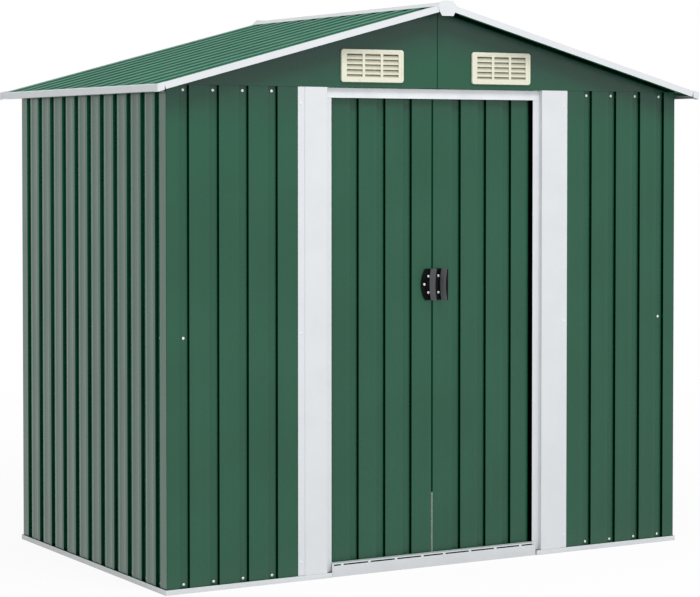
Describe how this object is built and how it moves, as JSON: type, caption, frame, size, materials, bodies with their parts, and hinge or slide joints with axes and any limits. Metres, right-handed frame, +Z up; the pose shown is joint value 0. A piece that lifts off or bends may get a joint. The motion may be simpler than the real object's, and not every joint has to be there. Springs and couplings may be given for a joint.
{
  "type": "metal storage shed",
  "caption": "Ribbed steel storage shed with a low ridged roof, pale folded trims, louvred gable vents and a pair of sliding doors.",
  "frame": {"origin": "on the ground, under the middle of the roof's plan", "axes": "+X to the right along the front, +Y from the front to the back, +Z up"},
  "size_m": [2.053, 1.2806, 1.833],
  "materials": {
    "green_wall": "satin dark green coated steel sheet",
    "green_gable": "satin dark green coated steel sheet",
    "green_door": "satin dark green coated steel sheet",
    "green_roof": "satin dark green coated steel sheet",
    "white_trim": "off-white coated steel trim",
    "bare_steel": "zinc coated steel channel",
    "vent_plastic": "cream moulded plastic",
    "black_plastic": "black moulded plastic",
    "runner_plastic": "pale nylon"
  },
  "bodies": {
    "shed": {"back_base_rail": "white_trim", "back_gable_left": "green_gable", "back_gable_right": "green_gable", "back_rake_trim_left": "white_trim", "back_rake_trim_right": "white_trim", "back_vent_left": "vent_plastic", "back_vent_right": "vent_plastic", "back_wall": "green_wall", "bottom_track": "bare_steel", "door_sill": "white_trim", "front_base_rail": "white_trim", "front_gable_left": "green_gable", "front_gable_right": "green_gable", "front_rake_trim_left": "white_trim", "front_rake_trim_right": "white_trim", "front_vent_left": "vent_plastic", "front_vent_right": "vent_plastic", "front_wall_left": "green_wall", "front_wall_right": "green_wall", "left_base_rail": "white_trim", "left_eave_trim": "white_trim", "left_jamb": "white_trim", "left_wall": "green_wall", "lintel": "white_trim", "mid_wall_rails": "bare_steel", "ridge_cap": "white_trim", "ridge_end_caps": "white_trim", "right_base_rail": "white_trim", "right_eave_trim": "white_trim", "right_jamb": "white_trim", "right_wall": "green_wall", "roof_beams": "bare_steel", "roof_corner_caps": "white_trim", "roof_sheet_left": "green_roof", "roof_sheet_right": "green_roof", "top_track": "bare_steel", "top_wall_rails": "bare_steel"},
    "left_door": {"left_door_handle": "black_plastic", "left_door_panel": "green_door", "left_door_rails": "bare_steel", "left_door_runners": "runner_plastic"},
    "right_door": {"right_door_handle": "black_plastic", "right_door_panel": "green_door", "right_door_rails": "bare_steel", "right_door_runners": "runner_plastic"}
  },
  "joints": [
    {"name": "left_door_slide", "type": "slide", "parent": "shed", "child": "left_door", "axis": [-1, 0, 0], "range_m": [0, 0.325]},
    {"name": "right_door_slide", "type": "slide", "parent": "shed", "child": "right_door", "axis": [1, 0, 0], "range_m": [0, 0.325]}
  ]
}
